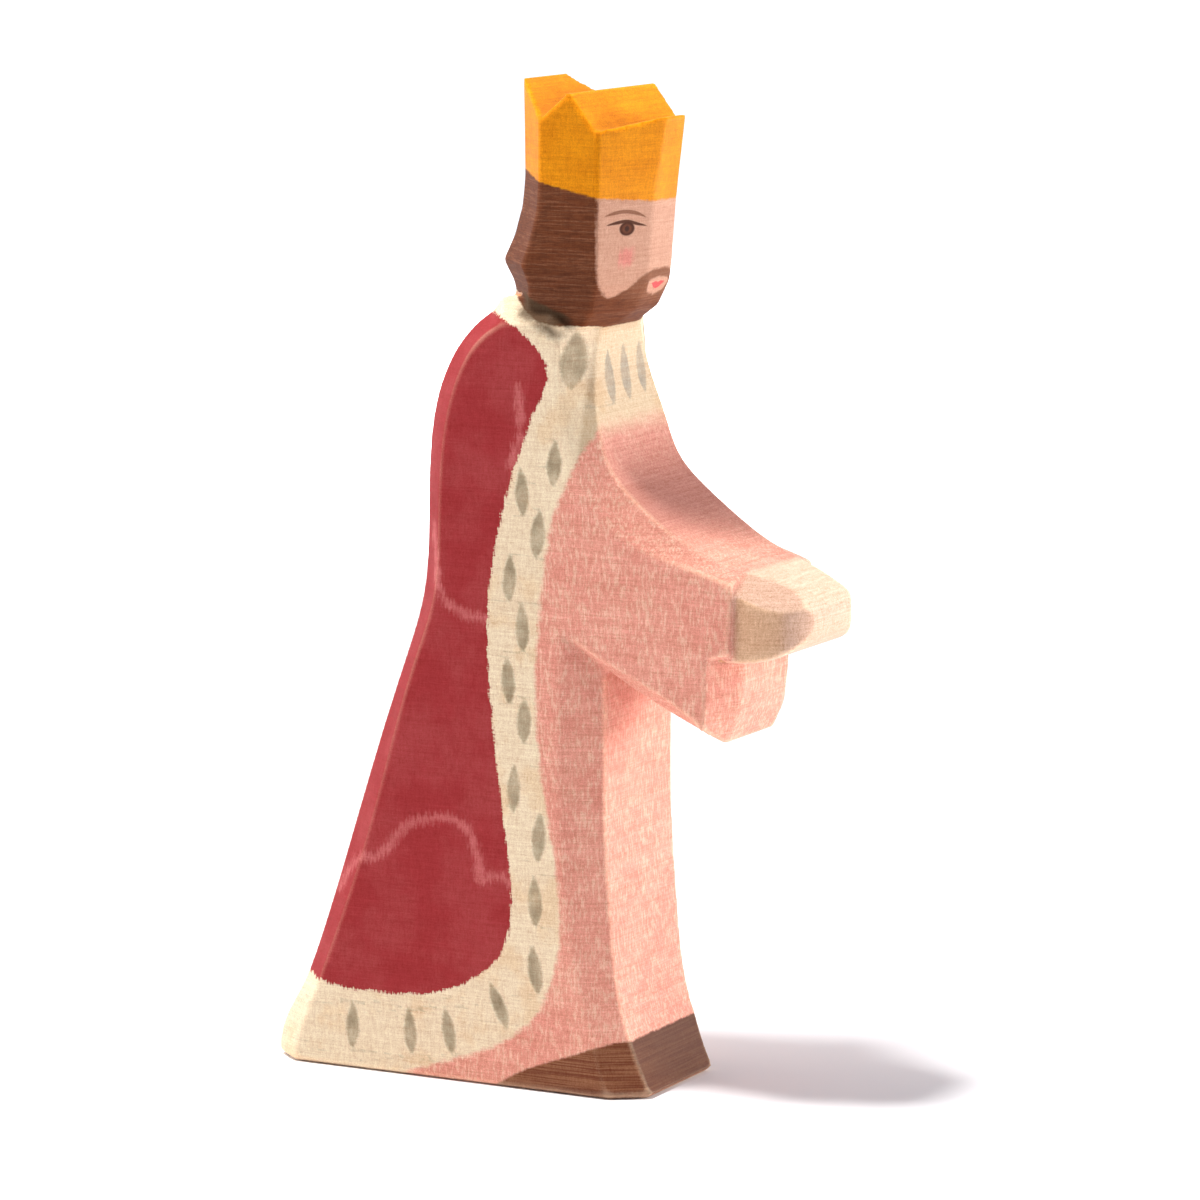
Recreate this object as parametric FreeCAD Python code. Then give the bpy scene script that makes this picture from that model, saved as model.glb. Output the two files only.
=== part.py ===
"""Carved and glazed wooden king figure, standing, arms held out in front.

The wood is one solid.  Every glaze and painted mark is a closed solid of its own,
as deep as the stain soaks in, so that all of them together tile the carved skin.

Frame: origin at the middle of the base's centre line, +Z up, the figure faces -Y.
Side-view points are written (forward, up): forward is -Y.
"""
import math
import os

import FreeCAD
import Part

V = FreeCAD.Vector

# ---- driving dimensions, mm ----------------------------------------------------
BOARD = 31.4            # thickness of the planed board the figure is sawn from
HALF = BOARD / 2
SOAK = 0.30             # depth of a glaze coat in the wood
EDGE_SHARE = 0.45       # how far a bevel's edge moves when its two faces move by 1
BASE_HALF = 11.7        # half width of the base's front and back edges
BASE_BEVEL = 0.9        # the base's bottom edge is sanded off by this much
BACK_HALF = 11.7        # half width of the flat down the back
NECK_HALF = 6.75        # half width of the flat at the front of the neck
ARM_HALF = 12.6         # half width of the flat on the upper arms
WRIST_HALF = 10.85      # half width of the flat at the wrist
CUFF_HALF = 8.45        # half width of the cuff's front face
TUNIC_HALF = 12.45      # half width of the tunic's front face
NECK_TOP = 134.0        # the neck ends inside the head at this height
CROWN_TOP = 170.4
HAND_HALF = 14.3        # half width of the two hands where they leave the sleeves

# ---- outline of the body: (forward, up, half width) and its bevel's outer edge -----
# each stretch is (points on the silhouette, points on the board's face)
BACK = ([(-36.9, BASE_BEVEL, BASE_HALF), (-35.6, 6.9, BACK_HALF), (-32.4, 12.6, BACK_HALF),
         (-28.8, 20.9, BACK_HALF), (-22.3, 40, BACK_HALF), (-17.0, 56.1, BACK_HALF),
         (-11.3, 72.1, BACK_HALF), (-8.1, 82, BACK_HALF), (-6.8, 95.6, BACK_HALF),
         (-6.4, 108.3, BACK_HALF), (-4.2, 119.2, BACK_HALF), (-0.1, 127, 10.9), (4.2, 131.3, 9.0)],
        [(-32.0, BASE_BEVEL), (-30.0, 6.9), (-27.6, 12.6), (-24.2, 20.9), (-17.2, 40),
         (-12.4, 56.1), (-7.4, 72.1), (-4.0, 82), (-2.7, 95.6), (-2.0, 108.3), (0.5, 119.2),
         (3.9, 125.6), (7.6, 128.9)])
NECK_BACK = ([(4.2, 131.3, 9.0), (7.2, NECK_TOP, 11.6)], [(7.6, 128.9), (9.4, 129.8)])
NECK_SIDE = ([(7.2, NECK_TOP, 11.6), (19.5, NECK_TOP, 11.6)], [(9.4, 129.8), (17.6, 130.6)])
NECK_FRONT = ([(19.5, NECK_TOP, 11.6), (23.8, 130.0, NECK_HALF)], [(17.6, 130.6), (19.8, 129.8)])
CHEST = ([(23.8, 130.0, NECK_HALF), (24.2, 120, 10.2), (26.0, 112.7, 12.2), (28.4, 106.3, ARM_HALF),
          (32.5, 101.8, ARM_HALF), (37.9, 97.5, ARM_HALF), (44, 93.5, 11.9),
          (51.8, 90.0, WRIST_HALF)],
         [(19.8, 129.8), (20.6, 119), (21.5, 112), (23.4, 105.6), (26.8, 99.5),
          (32.2, 95.2), (40.6, 92.2), (52.0, 88.9)])
SLEEVE_END = ([(51.8, 90.0, WRIST_HALF), (51.6, 76.9, WRIST_HALF)], [(52.0, 88.9), (51.4, 77.2)])
CUFF_LEDGE = ([(51.6, 76.9, WRIST_HALF), (51.0, 75.6, CUFF_HALF)], [(51.4, 77.2), (47.0, 76.2)])
CUFF = ([(51.0, 75.6, CUFF_HALF), (50.6, 69.6, CUFF_HALF), (49.5, 65, CUFF_HALF),
         (47.8, 61.1, CUFF_HALF)],
        [(47.0, 76.2), (47.1, 71.5), (47.1, 68), (46.7, 64.2)])
UNDERARM = ([(47.8, 61.1, CUFF_HALF), (40.4, 65.6, 11.8), (34.2, 69.0, 12.6),
             (27.2, 73.0, TUNIC_HALF)],
            [(46.7, 64.2), (40.4, 68.9), (34.4, 72.0), (20.6, 79.0)])
TUNIC = ([(27.2, 73.0, TUNIC_HALF), (27.1, 60.7, TUNIC_HALF), (27.2, 45, TUNIC_HALF),
          (28.3, 28.4, TUNIC_HALF), (30.2, 14.5, 12.3), (31.8, 9.6, 12.2)],
         [(20.6, 79.0), (20.0, 64), (20.2, 45), (22.3, 25.5), (25.2, 13), (26.6, 8.8)])
SHOE = ([(31.8, 9.6, 12.2), (33.2, 5.6, 12.0), (35.3, BASE_BEVEL, BASE_HALF)],
        [(26.6, 8.8), (27.7, 4.6), (29.2, BASE_BEVEL)])
STRETCHES = [BACK, NECK_BACK, NECK_SIDE, NECK_FRONT, CHEST, SLEEVE_END, CUFF_LEDGE, CUFF,
             UNDERARM, TUNIC, SHOE]

# ---- head: up, back flat (forward, half width), board face (back, front, half width),
#      front flat (forward, half width); last, the board face's front on the figure's left,
#      where the cheek is pared back further ----
HEAD = [(129.6, 8.6, 5.4, 13.0, 22.9, 12.2, 24.9, 4.0, 21.9),
        (132.3, 7.6, 6.2, 13.6, 25.2, 13.9, 28.5, 4.1, 23.6),
        (136.5, 7.0, 7.0, 14.4, 26.8, 15.3, 30.6, 4.1, 24.8),
        (139.8, 5.2, 7.15, 13.2, 27.2, HALF, 31.1, 4.0, 25.0),
        (144.0, 7.3, 7.15, 14.8, 27.3, HALF, 31.4, 4.0, 25.4),
        (149.1, 8.8, 7.15, 16.2, 27.3, HALF, 31.8, 4.0, 25.9),
        (154.1, 9.3, 7.15, 16.5, 27.3, HALF, 32.4, 3.9, 26.3),
        (161.6, 9.2, 7.15, 16.5, 27.4, HALF, 33.6, 3.4, 27.0),
        (172.0, 9.0, 7.15, 16.5, 27.6, HALF, 35.2, 2.9, 27.4)]
CROWN_TEETH = [(9.1, CROWN_TOP), (16.8, 164.2), (21.9, 168.7), (26.8, 162.2), (33.2, 164.2)]

# ---- hands: side view round the finger tips, and the plan view's taper ---------------
HAND_TOP = [(50.0, 90.8), (55.4, 89.5), (59.0, 88.0), (61.8, 86.0)]
HAND_TIP = [(61.8, 86.0), (63.1, 83.4), (61.5, 78.6)]
HAND_UNDER = [(61.5, 78.6), (58.6, 76.9), (55.0, 76.0), (50.0, 75.7)]
HAND_PLAN = [(49.0, HAND_HALF), (52.0, HAND_HALF), (57.4, 13.1), (60.6, 11.0), (62.5, 8.4),
             (63.6, 5.4)]
HAND_BEVEL_DROP = 7.0   # the bevel on the hands' upper edges comes down by this much

# ---- borders of the colours, side view (forward, up) ---------------------------------
CROWN_LINE = [(0, 157.3), (40, 148.6)]
MANTLE_FRONT = [(4.2, 131.6), (9.6, 130.9), (13.9, 128.4), (17.2, 124.8), (17.9, 120.7),
                (15.2, 114.7), (11.8, 106), (9.0, 96.8), (7.1, 86), (6.6, 75), (7.6, 62),
                (9.3, 47.8), (10.9, 36), (10.6, 28), (8.4, 22.4), (3.6, 18.4), (-4, 15),
                (-16, 14.0), (-26.0, 14.8), (-40, 18.5)]
TRIM_FRONT = [(40.0, 118.0), (29.5, 115.6), (25.6, 112.2), (22.4, 105.7), (20.0, 100.9), (18, 93.5),
              (16.4, 82), (15.7, 70), (16.4, 56), (18.2, 46), (19.8, 36), (20.3, 27.8),
              (18.8, 20), (15.6, 13.2), (9.7, 8.0), (3.0, 5.0), (-3.0, 2.9), (-9.0, 0.6), (-11.0, -1.5)]
SHOE_TOP = [(4.0, -2.0), (8.8, 0.9), (13.0, 3.3), (17.6, 5.2), (22.9, 7.1), (27.6, 8.9),
            (34.0, 9.8), (40.0, 9.9)]

# ---- ermine spots: middle (forward, up), length, width, lean in degrees ----------------
SIDE_SPOTS = [(21.6, 124.2, 9.4, 2.6, 0), (19.0, 107.6, 7.6, 2.6, 4), (12.9, 102.5, 8.0, 2.5, -3),
              (15.9, 95.6, 8.2, 2.6, 5), (10.5, 87.8, 8.0, 2.5, 3), (12.9, 79.6, 8.2, 2.5, -2),
              (10.2, 70.5, 7.8, 2.6, -4), (13.2, 63.9, 7.8, 2.6, 2), (11.2, 52.1, 8.2, 2.4, 2),
              (16.0, 44.3, 8.6, 2.5, 4), (15.2, 33.2, 8.8, 2.6, -2), (15.2, 21.4, 8.2, 2.6, -8),
              (8.2, 14.6, 8.4, 2.4, -24), (-1.5, 9.2, 8.0, 2.4, -10), (-9.0, 8.4, 8.2, 2.3, -4),
              (-20.3, 8.2, 8.2, 2.4, 2)]
SPOT_SHIFT = (0.3, -0.4)
BACK_SPOTS = [(-6.2, 9.6, 8.0, 2.4, 6), (6.2, 9.6, 8.0, 2.4, -6)]      # across, up
FRONT_SPOTS = [(-4.0, 121.2, 9.0, 3.0, 1), (1.4, 121.4, 9.0, 3.0, 0), (6.6, 121.8, 8.6, 2.8, -1)]

# ---- face marks, front view (across, up); every mark is made on both sides -------------
FACE_SIDE = [(15.3, 158), (15.3, 151), (15.6, 146), (15.6, 140.5), (14.6, 136.8), (12.4, 135.0),
             (10.2, 134.9), (7.8, 136.2), (5.9, 137.7), (4.6, 138.5), (2.6, 139.2), (0.9, 138.9),
             (0, 138.6)]
MOUTH_PATCH = [(-3.3, 137.0), (0, 137.4), (3.3, 137.0), (2.9, 135.2), (0, 134.4), (-2.9, 135.2)]
LIPS = [(-2.4, 136.5), (-0.9, 136.75), (0, 136.5), (0.9, 136.75), (2.4, 136.5), (0.9, 135.6),
        (0, 135.4), (-0.9, 135.6)]
BROW = [(5.6, 148.0), (7.4, 148.75), (9.6, 149.1), (12.0, 148.9), (14.0, 148.2), (12.0, 148.55),
        (9.6, 148.7), (7.4, 148.4)]
LID = [(5.8, 146.2), (7.2, 147.1), (9.4, 147.6), (11.4, 147.45), (13.2, 146.6), (11.4, 147.1),
       (9.4, 147.2), (7.2, 146.7)]
EYE_MIDDLE = (9.4, 146.05)
IRIS_RX, IRIS_RZ, PUPIL_R = 1.6, 1.15, 0.5
BLUSH_MIDDLE, BLUSH_RX, BLUSH_RZ = (9.6, 141.1), 1.7, 1.6


def at(x, forward, up):
    return V(x, -forward, up)


def line_or_curve(points):
    """A straight edge through two points, a smooth one through more."""
    if len(points) == 2:
        return Part.makeLine(points[0], points[1])
    curve = Part.BSplineCurve()
    curve.interpolate(points)
    return curve.toShape()


def inset_loop(points, moves):
    """Moves each side i of a closed outline inward by moves[i]; the outline runs clockwise."""
    out = []
    n = len(points)
    for i in range(n):
        (x0, y0), (x1, y1), (x2, y2) = points[i - 1], points[i], points[(i + 1) % n]
        l1 = ((x1 - x0) ** 2 + (y1 - y0) ** 2) ** 0.5
        l2 = ((x2 - x1) ** 2 + (y2 - y1) ** 2) ** 0.5
        n1 = ((y1 - y0) / l1, -(x1 - x0) / l1)
        n2 = ((y2 - y1) / l2, -(x2 - x1) / l2)
        t1, t2 = moves[i - 1], moves[i]
        det = n1[0] * n2[1] - n1[1] * n2[0]
        if abs(det) < 0.2:
            mx, my = n1[0] + n2[0], n1[1] + n2[1]
            t = max(t1, t2) if min(t1, t2) > 0 else 0.5 * (t1 + t2)
            size = mx * mx + my * my
            out.append((x1 + 2 * mx * t / size, y1 + 2 * my * t / size))
        else:
            out.append((x1 + (t1 * n2[1] - t2 * n1[1]) / det, y1 + (t2 * n1[0] - t1 * n2[0]) / det))
    return out


def loops(depth):
    """Silhouette and board-face points of the body, moved inward by depth."""
    sil = [p for st in STRETCHES for p in st[0][:-1]] + [STRETCHES[-1][0][-1]]
    face = [p for st in STRETCHES for p in st[1][:-1]] + [STRETCHES[-1][1][-1]]
    if depth:
        moves = [depth] * (len(sil) - 1) + [0.0]
        moved = inset_loop([p[:2] for p in sil], moves)
        sil = [(a, max(b, BASE_BEVEL), q[2] - EDGE_SHARE * depth) for (a, b), q in zip(moved, sil)]
        moved = inset_loop(face, [EDGE_SHARE * m for m in moves])
        face = [(a, max(b, BASE_BEVEL)) for a, b in moved]
    return sil, face


def body(depth):
    """Body, neck and sleeves: ruled faces between the bevel's two edges, sewn up."""
    sil, face = loops(depth)
    half = HALF - depth
    faces, side_edges = [], []
    start = 0
    for stretch in STRETCHES:
        count = len(stretch[0])
        s_pts = sil[start:start + count]
        e_pts = face[start:start + count]
        start += count - 1
        right = line_or_curve([at(w, a, b) for a, b, w in s_pts])
        left = line_or_curve([at(-w, a, b) for a, b, w in s_pts])
        outer_r = line_or_curve([at(half, a, b) for a, b in e_pts])
        outer_l = line_or_curve([at(-half, a, b) for a, b in e_pts])
        faces.append(Part.makeRuledSurface(outer_r, right))
        faces.append(Part.makeRuledSurface(left, outer_l))
        faces.append(Part.makeRuledSurface(right, left))
        side_edges.append((outer_r, outer_l))
    last, first = len(sil) - 1, 0
    # the base: the outline where the bevel starts, and the floor's outline inside it
    plan = [(-sil[first][2], sil[first][0]), (-half, face[first][0]),
            (-half, face[last][0]), (-sil[last][2], sil[last][0])]
    plan += [(-x, s) for x, s in reversed(plan)]
    ring = [at(x, s, BASE_BEVEL) for x, s in plan]
    floor = [at(x, s, 0) for x, s in inset_loop(plan, [BASE_BEVEL] * 8)]
    for i in range(8):
        j = (i + 1) % 8
        quad = [ring[i], ring[j], floor[j], floor[i], ring[i]]
        faces.append(Part.makeRuledSurface(Part.makeLine(quad[0], quad[1]), Part.makeLine(quad[3], quad[2])))
    faces.append(Part.Face(Part.makePolygon(floor + floor[:1])))
    for k, sign in ((0, 1), (1, -1)):
        close = Part.makeLine(at(sign * half, face[last][0], BASE_BEVEL),
                              at(sign * half, face[first][0], BASE_BEVEL))
        wire = Part.Wire(Part.__sortEdges__([e[k] for e in side_edges] + [close]))
        faces.append(Part.Face(wire))
    shell = Part.Shell(faces)
    shell.sewShape()
    solid = Part.Solid(shell)
    if solid.Volume < 0:
        solid.reverse()
    return solid


def head(depth):
    """Head and crown: eight-sided sections one above the other, notched across the top."""
    wires = []
    for up, back, wb, be, fe, wh, front, wf, fe_left in HEAD:
        ring = [(-wb, back), (-wh, be), (-wh, fe), (-wf, front),
                (wf, front), (wh, fe_left), (wh, be), (wb, back)]
        if depth:
            ring = inset_loop(ring, [depth] * 8)
        pts = [at(x, s, up) for x, s in ring]
        wires.append(Part.makePolygon(pts + pts[:1]))
    block = Part.makeLoft(wires, True, True)
    teeth = [(a, b - depth * 1.3) for a, b in CROWN_TEETH]
    air = [(-10, teeth[0][1])] + teeth + [(50, teeth[-1][1] + 1), (50, 190), (-10, 190)]
    return block.cut(side_prism(air, 30))


def side_prism(points, half_width):
    """Prism across the figure from a side-view outline."""
    pts = [at(-half_width, a, b) for a, b in points]
    return Part.Face(Part.makePolygon(pts + pts[:1])).extrude(V(2 * half_width, 0, 0))


def curve_prism(curve_points, corners, half_width=30):
    """Prism across the figure bounded by a smooth border and straight sides."""
    pts = [at(-half_width, a, b) for a, b in curve_points]
    rest = [at(-half_width, a, b) for a, b in corners]
    chain = [pts[-1]] + rest + [pts[0]]
    edges = [line_or_curve(pts)] + [Part.makeLine(p, q) for p, q in zip(chain, chain[1:])]
    return Part.Face(Part.Wire(edges)).extrude(V(2 * half_width, 0, 0))


def hands(depth):
    """Both hands, held together: the side view's outline meets the plan view's taper."""
    y_in = 49.0
    top = [(a, b) for a, b in HAND_TOP]
    outline = [line_or_curve([at(-20, a, b) for a, b in top]),
               Part.Arc(*[at(-20, a, b) for a, b in HAND_TIP]).toShape(),
               line_or_curve([at(-20, a, b) for a, b in HAND_UNDER]),
               Part.makeLine(at(-20, *HAND_UNDER[-1]), at(-20, *HAND_TOP[0]))]
    side = Part.Face(Part.Wire(outline)).extrude(V(40, 0, 0))
    left = line_or_curve([V(w, -s, 70) for s, w in HAND_PLAN[1:]])
    right = line_or_curve([V(-w, -s, 70) for s, w in HAND_PLAN[1:]])
    s_end, w_end = HAND_PLAN[-1]
    s_on, w_on = HAND_PLAN[1]
    ring = [left, Part.makeLine(V(w_end, -s_end, 70), V(-w_end, -s_end, 70)), right,
            Part.makeLine(V(-w_on, -s_on, 70), V(-w_on, -y_in, 70)),
            Part.makeLine(V(-w_on, -y_in, 70), V(w_on, -y_in, 70)),
            Part.makeLine(V(w_on, -y_in, 70), V(w_on, -s_on, 70))]
    plan = Part.Face(Part.Wire(Part.__sortEdges__(ring))).extrude(V(0, 0, 30))
    solid = side.common(plan)
    for sign in (-1, 1):
        inner, outer, top = WRIST_HALF - 0.6, 20, 92.4
        wedge = Part.makePolygon([V(sign * (2 * inner - outer), -48, top + HAND_BEVEL_DROP),
                                  V(sign * outer, -48, top + HAND_BEVEL_DROP),
                                  V(sign * outer, -48, top - HAND_BEVEL_DROP),
                                  V(sign * (2 * inner - outer), -48, top + HAND_BEVEL_DROP)])
        cut = Part.Face(wedge).extrude(V(sign * -4.4, -18, -7.0))
        solid = solid.cut(cut)
    return solid


def spot(middle_a, middle_b, length, width, lean):
    """Outline of one brush touch: pointed above and below, fullest a little below the middle."""
    c, s = math.cos(math.radians(lean)), math.sin(math.radians(lean))
    half = length / 2
    raw = [(0, half), (width * 0.36, half * 0.35), (width * 0.5, -half * 0.2),
           (width * 0.3, -half * 0.75), (0, -half), (-width * 0.3, -half * 0.75),
           (-width * 0.5, -half * 0.2), (-width * 0.36, half * 0.35)]
    return [(middle_a + x * c + z * s, middle_b - x * s + z * c) for x, z in raw]


def front_prism(points, y_from, y_to, smooth=True):
    """Prism along Y from a front-view outline (across, up)."""
    pts = [V(x, y_from, z) for x, z in points]
    if smooth:
        curve = Part.BSplineCurve()
        curve.interpolate(pts, PeriodicFlag=True)
        wire = Part.Wire([curve.toShape()])
    else:
        wire = Part.makePolygon(pts + pts[:1])
    return Part.Face(wire).extrude(V(0, y_to - y_from, 0))


def both_sides(points):
    """Front-view outline and its mirror image, both as prisms through the face."""
    return [front_prism([(k * x, z) for x, z in points], -40, -24) for k in (1, -1)]


def one(shapes):
    """One compound solid from shapes that do not touch, or a fused one from those that do."""
    solids = [s for shape in shapes for s in shape.Solids if s.Volume > 1e-4]
    return Part.makeCompound(solids)


def round_marks(middle, radius_x, radius_z):
    marks = []
    for k in (1, -1):
        ellipse = Part.Ellipse(V(0, 0, 0), max(radius_x, radius_z), min(radius_x, radius_z))
        edge = ellipse.toShape()
        turn = FreeCAD.Rotation(V(1, 0, 0), 90)
        if radius_z > radius_x:
            turn = turn.multiply(FreeCAD.Rotation(V(0, 0, 1), 90))
        edge.Placement = FreeCAD.Placement(V(k * middle[0], -40, middle[1]), turn)
        marks.append(Part.Face(Part.Wire([edge])).extrude(V(0, 16, 0)))
    return marks


def main():
    os.makedirs("parts", exist_ok=True)
    figure = body(0).fuse(head(0)).fuse(hands(0)).removeSplitter()
    inner = body(SOAK).fuse(head(SOAK)).fuse(hands(0)).removeSplitter()
    skin = figure.cut(inner)

    # big colour fields, from top to bottom
    above = curve_prism(CROWN_LINE, [(40, 190), (0, 190)])
    head_zone = head(0).cut(above)
    crown = skin.common(above)
    head_skin = skin.common(head_zone)
    body_skin = skin.cut(head(0))

    face_outline = FACE_SIDE + [(-x, z) for x, z in reversed(FACE_SIDE[:-1])]
    right_half = [V(x, -40, z) for x, z in FACE_SIDE[1:]]
    left_half = [V(-x, -40, z) for x, z in FACE_SIDE[1:]]
    top = [right_half[0], V(15.3, -40, 158), V(-15.3, -40, 158), left_half[0]]
    edges = [line_or_curve(right_half), line_or_curve(left_half)]
    edges += [Part.makeLine(p, q) for p, q in zip(top, top[1:])]
    face_field = Part.Face(Part.Wire(Part.__sortEdges__(edges))).extrude(V(0, 13.2, 0))
    mouth_field = front_prism(MOUTH_PATCH, -40, -26)
    face_all = head_skin.common(face_field.fuse(mouth_field))
    hair = head_skin.cut(face_all)

    lips = [face_all.common(front_prism(LIPS, -40, -26, smooth=False))]
    brows = [face_all.common(m) for m in both_sides(BROW)]
    pupils = [face_all.common(m) for m in round_marks(EYE_MIDDLE, PUPIL_R, PUPIL_R)]
    eyes = [face_all.common(m) for m in round_marks(EYE_MIDDLE, IRIS_RX, IRIS_RZ)]
    lids = [face_all.common(m) for m in both_sides(LID)]
    irises = [e.cut(one(lids)).cut(one(pupils)) for e in eyes]
    blush = [face_all.common(m) for m in round_marks(BLUSH_MIDDLE, BLUSH_RX, BLUSH_RZ)]
    face = face_all
    for marks in (lips, brows, lids, pupils, irises, blush):
        face = face.cut(one(marks))

    mantle_field = curve_prism(MANTLE_FRONT, [(-60, 18.5), (-60, 140), (4.2, 140)])
    trim_field = curve_prism(TRIM_FRONT, [(-60, -1.5), (-60, 145), (40, 145)])
    shoe_field = curve_prism(SHOE_TOP, [(60, 9.9), (60, -1.0)])
    mantle = body_skin.common(mantle_field)
    trim_all = body_skin.common(trim_field).cut(mantle_field)
    tunic_all = body_skin.cut(trim_field)
    shoes = tunic_all.common(shoe_field)
    tunic = tunic_all.cut(shoe_field)

    spots = []
    for a, b, length, width, lean in SIDE_SPOTS:
        for x0, x1 in ((5.0, 20), (-20, -5.0)):
            outline = spot(a + SPOT_SHIFT[0], b + SPOT_SHIFT[1], length, width, lean)
            pts = [at(x0, p, q) for p, q in outline]
            curve = Part.BSplineCurve()
            curve.interpolate(pts, PeriodicFlag=True)
            prism = Part.Face(Part.Wire([curve.toShape()])).extrude(V(x1 - x0, 0, 0))
            spots.append(trim_all.common(prism))
    for a, b, length, width, lean in BACK_SPOTS:
        spots.append(trim_all.common(front_prism(spot(a, b, length, width, lean), 20, 50)))
    for a, b, length, width, lean in FRONT_SPOTS:
        spots.append(trim_all.common(front_prism(spot(a, b, length, width, lean), -40, -20)))
    ermine = one(spots)
    trim = trim_all.cut(ermine)

    coats = {
        "crown_glaze": one([crown]),
        "hair_beard_glaze": one([hair]),
        "face_glaze": one([face]),
        "brow_strokes": one(brows),
        "eyelid_strokes": one(lids),
        "irises": one(irises),
        "pupils": one(pupils),
        "cheek_blush": one(blush),
        "lips": one(lips),
        "mantle_glaze": one([mantle]),
        "ermine_trim_glaze": one([trim]),
        "ermine_spots": ermine,
        "tunic_glaze": one([tunic]),
        "shoe_glaze": one([shoes]),
    }
    wood = figure.cut(skin)
    shapes = {"maple_body": one([wood])}
    shapes.update(coats)
    for name, shape in shapes.items():
        box = shape.BoundBox
        print(name, len(shape.Solids), "vol %.1f" % shape.Volume, shape.isValid(),
              "box %.1f %.1f %.1f  %.1f %.1f %.1f" % (box.XMin, box.YMin, box.ZMin,
                                                      box.XMax, box.YMax, box.ZMax))
        shape.exportStep("parts/" + name + ".step")


main()
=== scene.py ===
"""Carved maple king under water stains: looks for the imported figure.

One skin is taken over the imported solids, its carved edges are sanded round, and every point of it
is given its distance to each painted border.  The skin is then cut along those borders into
the coats of stain, each a closed shell as deep as the stain soaks in.
"""

import math

import bpy
import numpy as np
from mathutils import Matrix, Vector


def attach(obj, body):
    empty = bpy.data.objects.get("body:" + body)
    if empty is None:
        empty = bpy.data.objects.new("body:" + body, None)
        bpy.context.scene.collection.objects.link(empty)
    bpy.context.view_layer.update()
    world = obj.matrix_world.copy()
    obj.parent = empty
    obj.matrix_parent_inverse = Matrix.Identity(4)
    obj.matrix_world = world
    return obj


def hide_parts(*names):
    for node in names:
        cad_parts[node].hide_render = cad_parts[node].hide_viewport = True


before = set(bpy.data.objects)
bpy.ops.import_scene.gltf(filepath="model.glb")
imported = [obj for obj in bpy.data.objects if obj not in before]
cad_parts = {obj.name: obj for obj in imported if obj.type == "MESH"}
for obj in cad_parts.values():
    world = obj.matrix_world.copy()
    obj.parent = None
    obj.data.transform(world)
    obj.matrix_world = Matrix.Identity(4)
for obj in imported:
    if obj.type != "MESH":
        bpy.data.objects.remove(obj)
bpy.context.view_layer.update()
MM = 0.001

# ---- the skin ---------------------------------------------------------------------
CELL = 0.47                 # mm, spacing of the skin's points
SANDING_PASSES = 7          # more passes round the carved edges further
CORE_PASSES = 3
CORE_CELL = 0.8             # mm, spacing on the wood under the coats
SOAK = 0.28                 # mm, depth of a coat
CORE_GAP = 0.12             # mm, between the coats and the wood under them
HALF_BOARD = 15.69          # mm, nothing stands out further sideways

# ---- painted borders in side view, (forward, up) in mm; forward is -Y ----------------
CROWN_AT_ORIGIN, CROWN_SLOPE = 157.3, -0.2175
NECK_CREASE = [(-60, 135.4), (7.0, 135.0), (9.6, 134.3), (13, 132.0), (15.7, 130.7), (20, 129.9),
               (23.4, 129.7), (24.8, 128.6), (80, 128.6)]
MANTLE_FRONT = [(1.5, 131.0), (5.4, 131.4), (9.6, 130.6), (13.9, 128.2), (17.2, 124.6), (17.9, 120.7),
                (15.2, 114.7), (11.8, 106), (9.0, 96.8), (7.1, 86), (6.6, 75), (7.6, 62),
                (9.3, 47.8), (10.9, 36), (10.6, 28), (8.4, 22.4), (3.6, 18.4), (-4, 15),
                (-16, 14.0), (-26.0, 14.8), (-42, 19.0)]
TRIM_FRONT = [(60, 121.5), (40.0, 118.0), (29.5, 115.6), (25.6, 112.2), (22.4, 105.7), (20.0, 100.9),
              (18, 93.5), (16.4, 82), (15.7, 70), (16.4, 56), (18.2, 46), (19.8, 36),
              (20.3, 27.8), (18.8, 20), (15.6, 13.2), (9.7, 8.0), (3.0, 5.0), (-3.0, 2.9),
              (-9.0, 0.6), (-15.0, -3.0)]
SHOE_TOP = [(-2.0, -5.0), (4.0, -2.0), (8.8, 0.9), (13.0, 3.3), (17.6, 5.2), (22.9, 7.1), (27.6, 8.9),
            (34.0, 9.8), (60.0, 9.9)]
TIDE_LINES = [
    [(-24, 31), (-19.5, 36.5), (-14.5, 38), (-9.0, 43.5), (-3.0, 45.5), (2.0, 44.5), (4.6, 39.5),
     (5.2, 35.5), (8.6, 36.4), (12, 35)],
    [(-4.5, 95), (-2.4, 84.5), (1.4, 81.0), (7.0, 80.0)],
    [(12.5, 119.5), (12.8, 112), (11.0, 106.5)],
]

# ---- ermine touches: middle, length, width, lean in degrees ----------------------------
SIDE_SPOTS = [(21.6, 124.2, 9.4, 2.6, 0), (19.3, 107.2, 7.6, 2.6, 4), (13.2, 102.1, 8.0, 2.5, -3),
              (16.2, 95.2, 8.2, 2.6, 5), (10.8, 87.4, 8.0, 2.5, 3), (13.2, 79.2, 8.2, 2.5, -2),
              (10.5, 70.1, 7.8, 2.6, -4), (13.5, 63.5, 7.8, 2.6, 2), (11.5, 51.7, 8.2, 2.4, 2),
              (16.3, 43.9, 8.6, 2.5, 4), (15.5, 32.8, 8.8, 2.6, -2), (15.5, 21.0, 8.2, 2.6, -8),
              (8.5, 14.2, 8.4, 2.4, -24), (-1.2, 8.8, 8.0, 2.4, -10), (-8.7, 8.0, 8.2, 2.3, -4),
              (-20.0, 7.8, 8.2, 2.4, 2)]
BACK_SPOTS = [(-6.2, 9.6, 8.0, 2.4, 6), (6.2, 9.6, 8.0, 2.4, -6)]
FRONT_SPOTS = [(-5.0, 120.8, 9.0, 3.2, 1), (0.8, 121.2, 9.4, 3.2, 0), (6.6, 121.6, 8.8, 3.0, -1)]

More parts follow.
